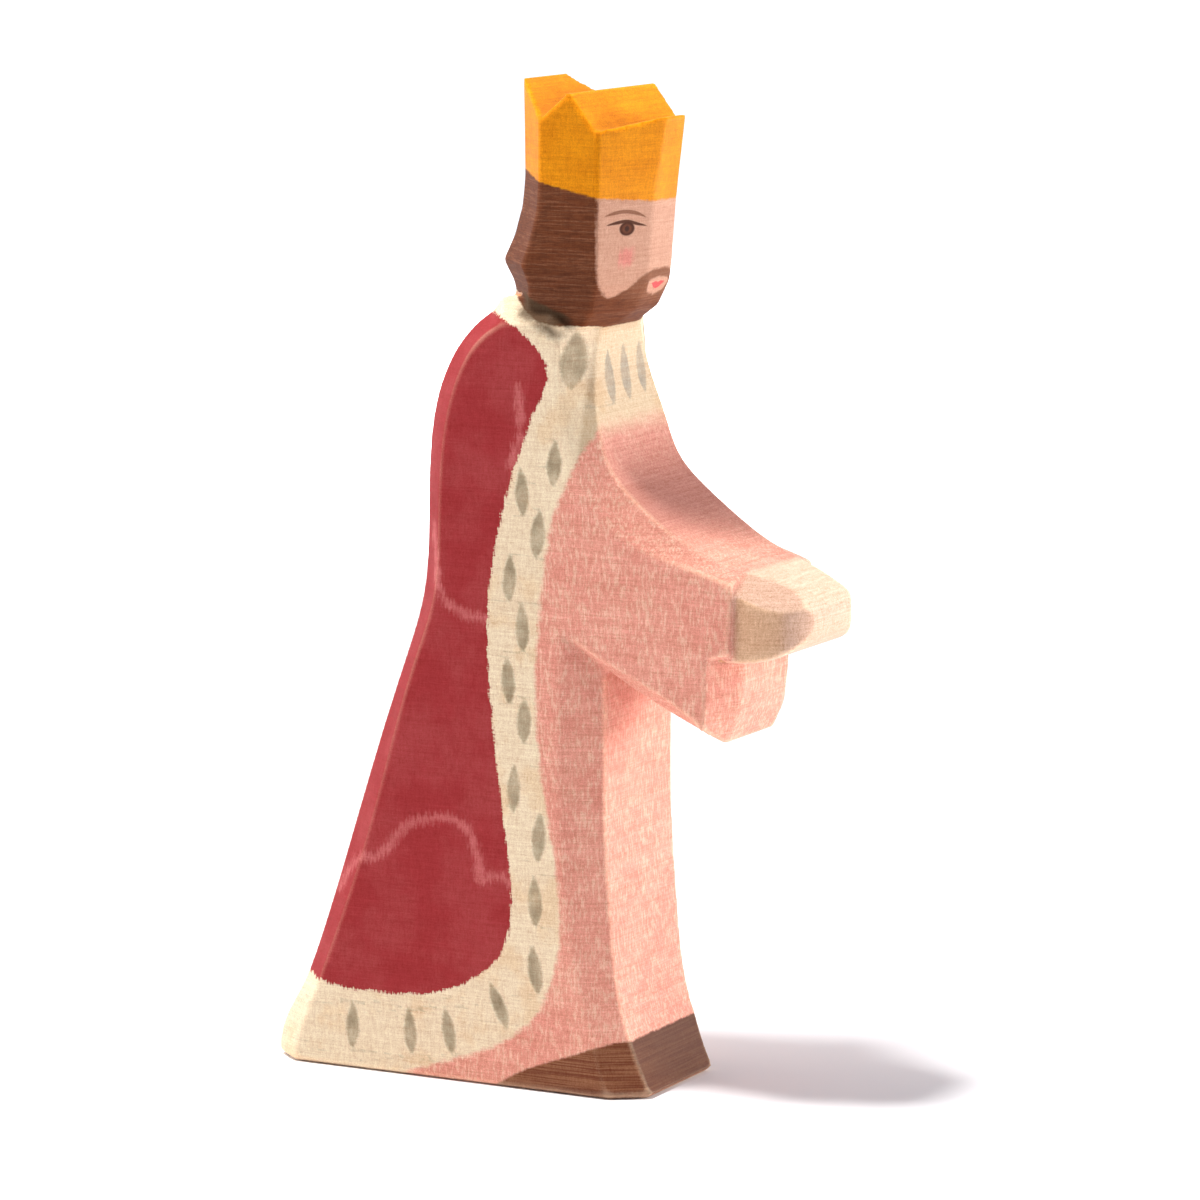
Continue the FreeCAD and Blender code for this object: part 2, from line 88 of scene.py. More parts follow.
# ---- the face in front view, (across, up) in mm, drawn for one side ---------------------
FACE_SIDE = [(0, 175), (17, 175), (17, 160), (15.5, 151), (15.65, 146), (15.65, 140.5), (14.6, 136.8),
             (12.4, 135.0), (10.2, 134.9), (7.8, 136.2), (5.9, 137.6), (4.6, 138.2), (2.8, 138.8),
             (1.2, 138.9), (0, 138.9)]
FACE_FRONT = (27.0, 24.4)   # the face begins this far forward, on its right and on its left
MOUTH_PATCH = [(0, 137.4), (3.3, 137.0), (2.9, 135.2), (0, 134.4)]
LIPS = [(0, 136.5), (0.9, 136.75), (2.4, 136.5), (0.9, 135.6), (0, 135.4)]
BROW = [(5.4, 147.7), (7.4, 148.8), (9.8, 149.2), (12.2, 149.0), (14.2, 148.3), (12.2, 148.45),
        (9.8, 148.6), (7.4, 148.2)]
LID = [(5.2, 146.3), (7.2, 147.0), (9.4, 147.55), (11.6, 147.4), (13.8, 146.8), (11.6, 146.85),
       (9.4, 147.0), (7.2, 146.5)]
EYE_MIDDLE, IRIS_RADII, PUPIL_RADIUS = (9.4, 146.05), (1.6, 1.15), 0.5
BLUSH_MIDDLE, BLUSH_RADII = (9.3, 141.3), (1.55, 1.45)
FACE_BAND, FACE_BAND_FROM = (133, 150.5), 24.6     # the marks lie in this band, from here forward

# ---- where stains lie that have no outline, in mm: forward of the origin, or up -----------
HANDS_FROM = (52.1, 75.9)   # the bare hands begin this far forward and up
BARE_BASE = 0.25            # the underside's bare wood reaches this high
SIDE_SPOTS_TO, BACK_SPOTS_FROM, CHEST_SPOTS_FROM = 23.9, -29, (23.2, 112)
CHEST = 23.4                # from here forward the chest's ermine touches are fainter, and its cream is darkened as painted shade
# painted shade in the tunic's hollow: its middle forward, its reach, its softness and its lowest height
HOLLOW, HOLLOW_REACH, HOLLOW_SOFT, HOLLOW_UP = 33.5, 7.5, 13.0, 88
WHISKERS, WHISKERS_UP = 28.5, 133.5
# band of painted shadow and brown stain under the hair at the nape: its fall forward, top, foot, middle and
# half width
NAPE_BAND_FALL, NAPE_BAND_TOP, NAPE_BAND_FOOT = 0.45, 140.7, 136.7      # heights at the origin
NAPE_BAND, NAPE_BAND_HALF = 15.8, 4.5


# =====================================================================================
# numpy surface work
# =====================================================================================
def smooth_line(points, steps=8, closed=False):
    """Catmull-Rom curve through the points: each span is the cubic whose end slopes are half
    the chord between the neighbours of its ends."""
    p = np.array(points, float)
    if closed:
        p = np.vstack([p[-1], p, p[0], p[1]])
    else:
        p = np.vstack([2 * p[0] - p[1], p, 2 * p[-1] - p[-2]])
    t = (np.arange(steps) / steps)[None, :, None]
    a, b, c, d = (p[i:len(p) - 3 + i, None, :] for i in range(4))
    curve = 0.5 * (2 * b + (c - a) * t + (2 * a - 5 * b + 4 * c - d) * t ** 2
                   + (3 * b - a - 3 * c + d) * t ** 3)
    curve = curve.reshape(-1, 2)
    return curve if closed else np.vstack([curve, p[-2]])


def line_distance(u, v, line):
    """Distance from each point (u, v) to an open line: the least over its straight pieces."""
    best = np.full(len(u), 1e9)
    for (a, b), (c, d) in zip(line[:-1], line[1:]):
        t = np.clip(((u - a) * (c - a) + (v - b) * (d - b)) / ((c - a) ** 2 + (d - b) ** 2), 0, 1)
        best = np.minimum(best, (u - a - t * (c - a)) ** 2 + (v - b - t * (d - b)) ** 2)
    return np.sqrt(best)


def outline_distance(u, v, outline):
    """Distance to a closed outline, positive inside it (even-odd crossings of a ray)."""
    ring = np.vstack([outline, outline[:1]])
    inside = np.zeros(len(u), bool)
    for (a, b), (c, d) in zip(ring[:-1], ring[1:]):
        if b != d:
            inside ^= ((b > v) != (d > v)) & (u < a + (v - b) * (c - a) / (d - b))
    return np.where(inside, 1.0, -1.0) * line_distance(u, v, ring)


def brush_touch(u, v, touch):
    """Distance into a pointed oval: its half width swells along its length as a skewed sine."""
    mid_u, mid_v, length, width, lean = touch
    c, s = math.cos(math.radians(lean)), math.sin(math.radians(lean))
    across = (u - mid_u) * c - (v - mid_v) * s
    along = ((u - mid_u) * s + (v - mid_v) * c) / length + 0.5
    t = np.clip(along, 0, 1)
    half = 0.5 * width * np.sin(math.pi * t ** 0.85) ** 0.8
    over = np.maximum(np.maximum(-along, along - 1), 0) * length
    return np.where(over > 0, -over, half - np.abs(across))


def merged_solids():
    """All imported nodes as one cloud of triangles, in metres."""
    points, faces, start = [], [], 0
    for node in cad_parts.values():
        mesh = node.data
        mesh.calc_loop_triangles()
        p = np.empty(len(mesh.vertices) * 3, np.float32)
        f = np.empty(len(mesh.loop_triangles) * 3, np.int32)
        mesh.vertices.foreach_get("co", p)
        mesh.loop_triangles.foreach_get("vertices", f)
        points.append(p.reshape(-1, 3))
        faces.append(f.reshape(-1, 3) + start)
        start += len(mesh.vertices)
    return np.vstack(points), np.vstack(faces)


def skin_over(points, faces, cell):
    """One closed skin over the solids, of four-sided faces about one cell wide (mm)."""
    mesh = bpy.data.meshes.new("solids")
    mesh.from_pydata(points.tolist(), [], faces.tolist())
    body = bpy.data.objects.new("solids", mesh)
    bpy.context.scene.collection.objects.link(body)
    remesh = body.modifiers.new("skin", "REMESH")
    remesh.mode = "VOXEL"
    remesh.voxel_size = cell * MM
    ready = body.evaluated_get(bpy.context.evaluated_depsgraph_get()).to_mesh()
    p = np.empty(len(ready.vertices) * 3, np.float32)
    q = np.empty(len(ready.polygons) * 4, np.int32)
    ready.vertices.foreach_get("co", p)
    ready.polygons.foreach_get("vertices", q)
    bpy.data.objects.remove(body)
    bpy.data.meshes.remove(mesh)
    return p.reshape(-1, 3).astype(float) / MM, q.reshape(-1, 4)


def point_normals(p, tris):
    """Each point's normal: the sum of its faces' normals, which are as long as their areas."""
    n = np.zeros_like(p)
    face = np.cross(p[tris[:, 1]] - p[tris[:, 0]], p[tris[:, 2]] - p[tris[:, 0]])
    for k in range(3):
        for axis in range(3):
            n[:, axis] += np.bincount(tris[:, k], face[:, axis], len(p))
    return n / np.maximum(np.linalg.norm(n, axis=1, keepdims=True), 1e-12)


def neighbour_mean(values, pairs, count):
    """Mean of each point's neighbours, for one column or several."""
    cols = values.reshape(len(values), -1)
    out = np.zeros_like(cols)
    for k in range(cols.shape[1]):
        out[:, k] = (np.bincount(pairs[:, 0], cols[pairs[:, 1], k], len(values))
                     + np.bincount(pairs[:, 1], cols[pairs[:, 0], k], len(values)))
    return (out / count[:, None]).reshape(values.shape)


def sanded(p, quads, passes):
    """Sands the edges: passes move a point part of the way to its neighbours' mean, and every
    second one a little less back again, which rounds the edges and keeps the size.
    Returns points, triangles, normals and how sharply each point stands out (edge) in 1/mm."""
    pairs = np.vstack([quads[:, [i, (i + 1) % 4]] for i in range(4)])
    pairs = np.unique(np.sort(pairs, axis=1), axis=0)
    count = np.bincount(pairs.ravel(), minlength=len(p)).astype(float)
    for i in range(passes):
        p = p + (0.6 if i % 2 == 0 else -0.5) * (neighbour_mean(p, pairs, count) - p)
    tris = np.vstack([quads[:, [0, 1, 2]], quads[:, [0, 2, 3]]])
    n = point_normals(p, tris)
    edge = -np.einsum("ij,ij->i", neighbour_mean(p, pairs, count) - p, n)
    for _ in range(3):
        edge = 0.5 * edge + 0.5 * neighbour_mean(edge, pairs, count)
    p[:, 0] = np.clip(p[:, 0], -HALF_BOARD, HALF_BOARD)
    p[:, 2] = np.maximum(p[:, 2], 0.0)
    return p, tris, n, edge


def finer(cols, tris, where):
    """Splits the chosen triangles in four; new points carry the mean of their two ends."""
    chosen, kept = tris[where], tris[~where]
    ends = np.sort(np.vstack([chosen[:, [0, 1]], chosen[:, [1, 2]], chosen[:, [2, 0]]]), axis=1)
    pairs, at = np.unique(ends, axis=0, return_inverse=True)
    at = at.reshape(3, -1) + len(cols)
    middle = 0.5 * (cols[pairs[:, 0]] + cols[pairs[:, 1]])
    a, b, c = chosen.T
    ab, bc, ca = at
    new = np.vstack([np.c_[a, ab, ca], np.c_[ab, b, bc], np.c_[ca, bc, c], np.c_[ab, bc, ca]])
    return np.vstack([cols, middle]), np.vstack([kept, new])


def cut(cols, tris, field):
    """Cuts triangles where a column passes through zero: returns the columns with the new
    points, the triangles where it is positive, and the others."""
    f = cols[:, field]
    plus = f > 0
    hits = plus[tris].sum(1)
    mixed = tris[(hits == 1) | (hits == 2)]
    ones = hits[(hits == 1) | (hits == 2)] == 1
    alone = np.where(ones, plus[mixed].argmax(1), (~plus[mixed]).argmax(1))
    rows = np.arange(len(mixed))
    a, b, c = (mixed[rows, (alone + k) % 3] for k in range(3))
    ends = np.sort(np.vstack([np.c_[a, b], np.c_[a, c]]), axis=1)
    pairs, at = np.unique(ends, axis=0, return_inverse=True)
    at = at.ravel() + len(cols)
    t = (f[pairs[:, 0]] / (f[pairs[:, 0]] - f[pairs[:, 1]]))[:, None]
    fresh = cols[pairs[:, 0]] * (1 - t) + cols[pairs[:, 1]] * t
    ab, ac = at[:len(mixed)], at[len(mixed):]
    tip = np.c_[a, ab, ac]
    rest = np.vstack([np.c_[ab, b, c], np.c_[ab, c, ac]])
    twice = np.r_[ones, ones]
    inside = np.vstack([tris[hits == 3], tip[ones], rest[~twice]])
    outside = np.vstack([tris[hits == 0], tip[~ones], rest[twice]])
    return np.vstack([cols, fresh]), inside, outside


# ---- columns of the skin's table ----------------------------------------------------------
POSITION, NORMAL = slice(0, 3), slice(3, 6)
FIELDS = ["edge", "neck", "crown", "face", "mantle", "trim", "shoe", "spot", "bare", "tide",
          "brow", "lid", "iris", "pupil", "blush", "lips"]
COL = {name: 6 + i for i, name in enumerate(FIELDS)}


def painted_fields(cols):
    """Fills in each point's distance (mm) into every painted field, positive inside."""
    x, up = cols[:, 0], cols[:, 2]
    s = -cols[:, 1]
    side = np.abs(x)
    cols[:, COL["neck"]] = up - np.interp(s, *np.array(NECK_CREASE).T)
    cols[:, COL["crown"]] = (up - CROWN_AT_ORIGIN - CROWN_SLOPE * s) * math.cos(math.atan(CROWN_SLOPE))
    mantle = np.vstack([smooth_line(MANTLE_FRONT), [(-80, 19), (-80, 150), (1.5, 150)]])
    trim = np.vstack([smooth_line(TRIM_FRONT), [(-80, -3), (-80, 150), (60, 150)]])
    shoe = np.vstack([smooth_line(SHOE_TOP), [(60, -5)]])
    cols[:, COL["mantle"]] = outline_distance(s, up, mantle)
    cols[:, COL["trim"]] = outline_distance(s, up, trim)
    cols[:, COL["shoe"]] = outline_distance(s, up, shoe)
    cols[:, COL["bare"]] = np.maximum(np.minimum(s - HANDS_FROM[0], up - HANDS_FROM[1]), BARE_BASE - up)
    cols[:, COL["tide"]] = np.min([line_distance(s, up, smooth_line(t)) for t in TIDE_LINES], axis=0)
    # ermine touches: side ones on the sides, others on the back and the chest
    spot = np.full(len(s), -9.0)
    on_side = side > 6.0
    for touch in SIDE_SPOTS:
        spot = np.maximum(spot, np.where(on_side & (s < SIDE_SPOTS_TO), brush_touch(s, up, touch), -9))
    for touch in BACK_SPOTS:
        spot = np.maximum(spot, np.where(s < BACK_SPOTS_FROM, brush_touch(x, up, touch), -9))
    on_chest = (s > CHEST_SPOTS_FROM[0]) & (up > CHEST_SPOTS_FROM[1])
    for touch in FRONT_SPOTS:
        spot = np.maximum(spot, np.where(on_chest, brush_touch(x, up, touch), -9))
    cols[:, COL["spot"]] = spot
    # face, drawn from the front and mirrored
    forward = s - np.where(x < 0, FACE_FRONT[0], FACE_FRONT[1])
    outline = smooth_line(FACE_SIDE)
    half_face = outline_distance(side, up, np.vstack([[(-5, 138.9), (-5, 175)], outline]))
    mouth = outline_distance(side, up, np.vstack([[(-5, 134.4), (-5, 137.4)], smooth_line(MOUTH_PATCH)]))
    cols[:, COL["face"]] = np.minimum(np.maximum(half_face, mouth), forward)

    def mark(distance):
        return np.minimum(distance, forward)

    eye_x, eye_z = EYE_MIDDLE
    iris = np.hypot((side - eye_x) / IRIS_RADII[0], (up - eye_z) / IRIS_RADII[1])
    blush = (np.abs((side - BLUSH_MIDDLE[0]) / BLUSH_RADII[0]) ** 3
             + np.abs((up - BLUSH_MIDDLE[1]) / BLUSH_RADII[1]) ** 3) ** (1 / 3)
    cols[:, COL["brow"]] = mark(outline_distance(side, up, smooth_line(BROW, closed=True)))
    cols[:, COL["lid"]] = mark(outline_distance(side, up, smooth_line(LID, closed=True)))
    cols[:, COL["iris"]] = mark((1 - iris) * IRIS_RADII[1])
    cols[:, COL["pupil"]] = mark(PUPIL_RADIUS - np.hypot(side - eye_x, up - eye_z))
    cols[:, COL["blush"]] = mark((1 - blush) * BLUSH_RADII[1])
    cols[:, COL["lips"]] = mark(outline_distance(side, up, np.vstack([[(-2, 135.4), (-2, 136.5)], LIPS])))


def shell(name, cols, tris, depth):
    """A coat: the skin's piece, the same piece moved in by depth along its normals, and a rim
    that joins their borders."""
    used, flat = np.unique(tris, return_inverse=True)
    tris = flat.reshape(-1, 3)
    top = cols[used]
    p, n = top[:, POSITION], top[:, NORMAL]
    n = n / np.maximum(np.linalg.norm(n, axis=1, keepdims=True), 1e-9)
    count = len(p)
    ends = np.vstack([tris[:, [0, 1]], tris[:, [1, 2]], tris[:, [2, 0]]])
    key = np.sort(ends, axis=1)
    _, first, times = np.unique(key, axis=0, return_index=True, return_counts=True)
    rim = ends[first[times == 1]]
    points = np.vstack([p, p - n * depth])
    points[:, 2] = np.maximum(points[:, 2], 0)
    back = tris[:, ::-1] + count
    wall = np.vstack([np.c_[rim[:, 1], rim[:, 0], rim[:, 0] + count],
                      np.c_[rim[:, 1], rim[:, 0] + count, rim[:, 1] + count]])
    faces = np.vstack([tris, back, wall])
    w = points[wall]
    wall_n = np.cross(w[:, 1] - w[:, 0], w[:, 2] - w[:, 0])
    wall_n /= np.maximum(np.linalg.norm(wall_n, axis=1, keepdims=True), 1e-9)
    normals = np.vstack([n[tris].reshape(-1, 3), -n[tris[:, ::-1]].reshape(-1, 3),
                         np.repeat(wall_n, 3, axis=0)])
    return piece(name, points, faces, normals, np.vstack([top, top]))


def piece(name, points, faces, normals, cols):
    """Puts arrays into a mesh object with its own normals and its painted distances."""
    mesh = bpy.data.meshes.new(name)
    mesh.vertices.add(len(points))
    mesh.vertices.foreach_set("co", (points * MM).astype(np.float32).ravel())
    mesh.loops.add(len(faces) * 3)
    mesh.loops.foreach_set("vertex_index", faces.astype(np.int32).ravel())
    mesh.polygons.add(len(faces))
    mesh.polygons.foreach_set("loop_start", np.arange(0, len(faces) * 3, 3, dtype=np.int32))
    mesh.polygons.foreach_set("loop_total", np.full(len(faces), 3, np.int32))
    mesh.update(calc_edges=True)
    mesh.polygons.foreach_set("use_smooth", np.ones(len(faces), bool))
    for field in FIELDS:
        layer = mesh.attributes.new(field + "_mm", "FLOAT", "POINT")
        layer.data.foreach_set("value", cols[:, COL[field]].astype(np.float32))
    mesh.normals_split_custom_set(normals.astype(np.float32))
    made = bpy.data.objects.new(name, mesh)
    bpy.context.scene.collection.objects.link(made)
    return made


# =====================================================================================
# materials
# =====================================================================================
def linear(hex_colour):
    """sRGB hex to linear RGBA."""
    rgb = [int(hex_colour[i:i + 2], 16) / 255 for i in (1, 3, 5)]
    return tuple(c / 12.92 if c <= 0.04045 else ((c + 0.055) / 1.055) ** 2.4 for c in rgb) + (1.0,)


# kinds of node with their settings, for add()
PLUS = ("ShaderNodeMath", {"operation": "ADD"})
PLUS_HELD = ("ShaderNodeMath", {"operation": "ADD", "use_clamp": True})       # held between 0 and 1
TIMES_HELD = ("ShaderNodeMath", {"operation": "MULTIPLY", "use_clamp": True})
MINUS = ("ShaderNodeMath", {"operation": "SUBTRACT"})
TIMES = ("ShaderNodeMath", {"operation": "MULTIPLY"})
TIMES_PLUS = ("ShaderNodeMath", {"operation": "MULTIPLY_ADD"})
SIZE = ("ShaderNodeMath", {"operation": "ABSOLUTE"})
OVER = ("ShaderNodeMix", {"data_type": "RGBA"})                               # share, under, over
TINT = ("ShaderNodeMix", {"data_type": "RGBA", "blend_type": "MULTIPLY"})
SOFT_STEP = ("ShaderNodeMapRange", {"interpolation_type": "SMOOTHSTEP"})
EVEN_STEP = ("ShaderNodeMapRange", {})
PLACES = ("ShaderNodeTexCoord", {})
SPLIT = ("ShaderNodeSeparateXYZ", {})


def add(tree, kind, *in_turn, **by_name):
    """Adds a node of a kind and its settings.  Its live inputs in turn, or by name, are each given
    a number, a colour or a link.  Returns its first live output."""
    node = tree.nodes.new(kind[0])
    for key, value in kind[1].items():
        setattr(node, key, value)
    live = [socket for socket in node.inputs if socket.enabled]
    given = list(zip(live, in_turn)) + [(node.inputs[key], value) for key, value in by_name.items()]
    for socket, value in given:
        if isinstance(value, bpy.types.NodeSocket):
            tree.links.new(value, socket)
        else:
            socket.default_value = value
    return next((socket for socket in node.outputs if socket.enabled), None)


COLOURS = {
    "mantle": "#9A3133", "mantle_light": "#C56A68", "trim": "#E6CFB0", "trim_warm": "#DDB68A",
    "tunic": "#E19A87", "tunic_deep": "#D88777", "tunic_painted_shade": "#AE7467", "shoe": "#74432F",
    "shoe_pale": "#946448",
    "shoe_toe": "#53301F", "hair": "#6E3D26", "hair_dark": "#4F2A1B", "hair_pale": "#93624A",
    "face": "#C09079", "crown": "#DE8A14", "crown_deep": "#D27D10", "spot": "#948369",
    "spot_faint": "#ABA294",
    "mark": "#46200F", "iris": "#6E3A24", "brow": "#74452F", "lips": "#CC4A50", "blush": "#D0716C",
    "pupil": "#2A130B", "nape_shadow_and_stain": "#54412F", "bare": "#DEB59D", "bare_side": "#DDB08E", "crease": "#A08070",
    "chest_painted_shade": "#DAD3CC",
}


def stained_maple_group():
    """Hard maple, planed and sanded, with thin water stains that let its figure show.
    Gives the eye: flat matt colour broken by fine level growth lines, crossed by finer
    upright fibres; soft or toothed borders where one stain meets the next; edges paler from
    wear and from painted highlight; painted shade in the tunic's hollow, on the chest and at the nape."""
    tree = bpy.data.node_groups.new("stained_maple", "ShaderNodeTree")
    tree.interface.new_socket("Colour", in_out="OUTPUT", socket_type="NodeSocketColor")
    tree.interface.new_socket("Relief", in_out="OUTPUT", socket_type="NodeSocketFloat")
    tree.interface.new_socket("Dryness", in_out="OUTPUT", socket_type="NodeSocketFloat")
    out = tree.nodes.new("NodeGroupOutput")

    into = {name: add(tree, ("ShaderNodeAttribute", {"attribute_name": name + "_mm"})).node.outputs["Fac"]
            for name in FIELDS}
    places = add(tree, PLACES).node.outputs
    place = places["Object"]
    facing = add(tree, SPLIT, places["Normal"]).node.outputs
    spot_at = add(tree, SPLIT, place).node.outputs

    def noise(size_mm, detail=2.0, rough=0.5, stretch=(1, 1, 1), turn=(0, 0, 0)):
        """Noise whose blobs are size_mm wide, stretched along the axes by the given amounts."""
        scale = tuple(1 / (size_mm * MM * k) for k in stretch)
        spot = add(tree, ("ShaderNodeMapping", {}), Vector=place, Rotation=turn, Scale=scale)
        return add(tree, ("ShaderNodeTexNoise", {}), Vector=spot, Scale=1.0, Detail=detail, Roughness=rough)

    def blur(distance, wobble, width):
        """0 outside to 1 inside over a border of that width, moved about by the wobble."""
        moved = distance if wobble is None else add(tree, PLUS, distance, wobble)
        return add(tree, SOFT_STEP, moved, -width / 2, width / 2)

    def swing(noise_socket, amount):
        """Noise centred on zero, times an amount in mm or in brightness."""
        return add(tree, TIMES, add(tree, MINUS, noise_socket, 0.5), amount)

    # the wood's own figure; fibres and pores are drawn coarser than real ones, so that they show
    rings = noise(0.3, 2.0, 0.6, (70, 60, 1.0))             # level growth lines
    broad = noise(6.0, 2.0, 0.5, (4, 3, 0.5))               # wide pale and dark bands
    fibres = noise(0.26, 2.0, 0.6, (1, 1, 6))               # upright fibre lines
    weave = noise(0.26, 2.0, 0.6, (9, 8, 0.8))              # fine level sanding lines
    fleck = noise(0.36, 2.0, 0.65, (1, 1, 5), (math.radians(-26), 0, 0))     # slanting flecks
    grit = noise(0.22, 2.0, 0.7)                            # pores and dust
    mottle = noise(9.0, 3.0, 0.6)                           # clouds in the stain
    patch = noise(3.2, 3.0, 0.6)                            # the brush pressed more or less

    # borders
    tooth = add(tree, PLUS, swing(noise(0.4, 2.0, 0.6, (6, 6, 0.7)), 0.9), swing(noise(4.0, 1.0, 0.5), 0.8))
    tooth = add(tree, PLUS, tooth, swing(noise(0.4, 2.0, 0.6, (1, 1, 5)), 1.5))
    soft = add(tree, PLUS, swing(noise(2.2, 3.0, 0.6), 1.8), swing(noise(0.5, 2.0, 0.6, (5, 5, 0.7)), 0.7))
    small = add(tree, PLUS, swing(noise(0.9, 2.0, 0.6), 0.5), swing(noise(0.35, 1.0, 0.6, (5, 5, 1)), 0.35))

    hue = {k: linear(v) for k, v in COLOURS.items()}
    is_mantle = blur(into["mantle"], tooth, 0.35)
    on_front = blur(add(tree, TIMES, facing["Y"], -1.0), -0.8, 0.2)
    on_side = blur(add(tree, SIZE, facing["X"]), -0.8, 0.2)
    crisp_trim, soft_trim = blur(into["trim"], soft, 1.1), blur(into["trim"], soft, 4.0)
    is_trim = add(tree, PLUS_HELD, add(tree, TIMES, crisp_trim, add(tree, MINUS, 1.0, on_front)),
                  add(tree, TIMES, soft_trim, on_front))
    is_shoe = blur(into["shoe"], small, 0.5)
    is_face = blur(into["face"], small, 0.6)
    is_crown = blur(into["crown"], small, 0.5)
    is_head = blur(into["neck"], small, 0.4)
    is_spot = blur(into["spot"], small, 0.7)
    is_bare = blur(into["bare"], small, 1.6)

    # tunic, trim and mantle
    warm = add(tree, TIMES, blur(mottle, -0.58, 0.12), 0.4)
    cream = add(tree, OVER, warm, hue["trim"], hue["trim_warm"])
    tunic = add(tree, OVER, add(tree, TIMES, blur(mottle, -0.5, 0.4), 0.6), hue["tunic"], hue["tunic_deep"])
    thin = add(tree, TIMES, blur(add(tree, PLUS, fleck, swing(patch, 0.3)), -0.56, 0.2), 0.34)
    tunic = add(tree, OVER, thin, tunic, hue["trim"])
    # painted shade: the tunic is darkened in the hollow between the chest and the wrists, where the head
    # shades it from above
    hollow_shade = add(tree, SIZE, add(tree, PLUS, spot_at["Y"], HOLLOW * MM))
    hollow_shade = blur(add(tree, TIMES, hollow_shade, -1.0), HOLLOW_REACH * MM, HOLLOW_SOFT * MM)
    flat_strip = add(tree, MINUS, 1.0, blur(add(tree, SIZE, facing["X"]), -0.5, 0.4))
    hollow_shade = add(tree, TIMES, add(tree, TIMES, hollow_shade, flat_strip),
                 blur(spot_at["Z"], -HOLLOW_UP * MM, 4 * MM))
    tunic = add(tree, OVER, add(tree, TIMES, hollow_shade, 0.95), tunic, hue["tunic_painted_shade"])
    band = add(tree, MINUS, into["tide"], 0.7)
    band = add(tree, PLUS, band,
               add(tree, PLUS, swing(patch, 1.6), swing(noise(0.45, 2.0, 0.6, (1, 1, 4)), 3.0)))
    tide = add(tree, MINUS, 1.0, blur(band, None, 1.5))
    worn_red = add(tree, PLUS_HELD, add(tree, TIMES, blur(mottle, -0.52, 0.3), 0.14),
                   add(tree, TIMES, tide, 0.65))
    red = add(tree, OVER, worn_red, hue["mantle"], hue["mantle_light"])
    touch = add(tree, TIMES_HELD, is_spot, add(tree, PLUS, 0.72, swing(patch, 1.2)))
    on_chest = blur(add(tree, TIMES, spot_at["Y"], -1.0), -CHEST * MM, MM)
    spotted = add(tree, OVER, touch, cream, add(tree, OVER, on_chest, hue["spot"], hue["spot_faint"]))
    # painted shade on the chest's cream and touches, under the beard
    spotted = add(tree, OVER, add(tree, TIMES, on_chest, 0.85), spotted,
                  add(tree, TINT, 1.0, spotted, hue["chest_painted_shade"]))
    robe = add(tree, OVER, is_trim, tunic, spotted)
    robe = add(tree, OVER, is_mantle, robe, red)
    leather = add(tree, OVER, add(tree, TIMES, blur(rings, -0.5, 0.2), 0.7), hue["shoe"], hue["shoe_pale"])
    leather = add(tree, OVER, add(tree, TIMES, on_front, 0.75), leather, hue["shoe_toe"])
    robe = add(tree, OVER, is_shoe, robe, leather)
    robe = add(tree, OVER, is_bare, robe, add(tree, OVER, on_side, hue["bare"], hue["bare_side"]))

    # head
    strokes = add(tree, PLUS, small, swing(noise(0.5, 1.0, 0.5, (1, 1, 4)), 1.6))
    skin = add(tree, OVER, add(tree, TIMES, blur(into["blush"], strokes, 1.3), 0.6), hue["face"],
               hue["blush"])
    skin = add(tree, OVER, add(tree, TIMES, blur(into["brow"], None, 0.2), 0.8), skin, hue["brow"])
    skin = add(tree, OVER, blur(into["iris"], None, 0.3), skin, hue["mark"])
    skin = add(tree, OVER, add(tree, TIMES, blur(into["iris"], -0.45, 0.5), 0.8), skin, hue["iris"])
    skin = add(tree, OVER, add(tree, TIMES, blur(into["lid"], None, 0.18), 0.95), skin, hue["mark"])
    skin = add(tree, OVER, add(tree, TIMES, blur(into["pupil"], None, 0.4), 0.8), skin, hue["pupil"])
    skin = add(tree, OVER, add(tree, TIMES, blur(into["lips"], None, 0.25), 0.9), skin, hue["lips"])
    hair = add(tree, OVER, add(tree, TIMES, blur(rings, -0.55, 0.2), 0.38), hue["hair"], hue["hair_pale"])
    hair = add(tree, OVER, add(tree, TIMES, blur(weave, -0.52, 0.14), 0.6), hair, hue["hair_dark"])
    whiskers = add(tree, TIMES, blur(add(tree, TIMES, spot_at["Y"], -1.0), -WHISKERS * MM, 3 * MM),
                   blur(add(tree, PLUS, spot_at["Z"], swing(rings, 3 * MM)), -WHISKERS_UP * MM, 6 * MM))
    hair = add(tree, OVER, add(tree, TIMES, whiskers, 0.55), hair, hue["hair_pale"])
    head = add(tree, OVER, is_face, hair, skin)
    head = add(tree, OVER, is_crown, head,
               add(tree, OVER, blur(mottle, -0.5, 0.4), hue["crown"], hue["crown_deep"]))
    colour = add(tree, OVER, is_head, robe, head)

    # painted shadow of the hair's overhang, with some brown stain, in a slanting band under the hair's edge,
    # at the side of the nape
    slope = add(tree, PLUS, spot_at["Z"], add(tree, TIMES, spot_at["Y"], -NAPE_BAND_FALL))
    under_hair = blur(add(tree, MINUS, NAPE_BAND_TOP * MM, slope), swing(patch, MM), 0.7 * MM)
    lower_end = blur(add(tree, MINUS, slope, NAPE_BAND_FOOT * MM), swing(patch, 4 * MM), 3 * MM)
    nape = add(tree, MINUS, NAPE_BAND_HALF * MM, add(tree, SIZE, add(tree, PLUS, spot_at["Y"], NAPE_BAND * MM)))
    nape_shadow_and_stain = add(tree, TIMES, add(tree, TIMES, under_hair, lower_end),
                 blur(nape, swing(patch, 3 * MM), 3 * MM))
    colour = add(tree, OVER, add(tree, TIMES, nape_shadow_and_stain, 0.88), colour, hue["nape_shadow_and_stain"])
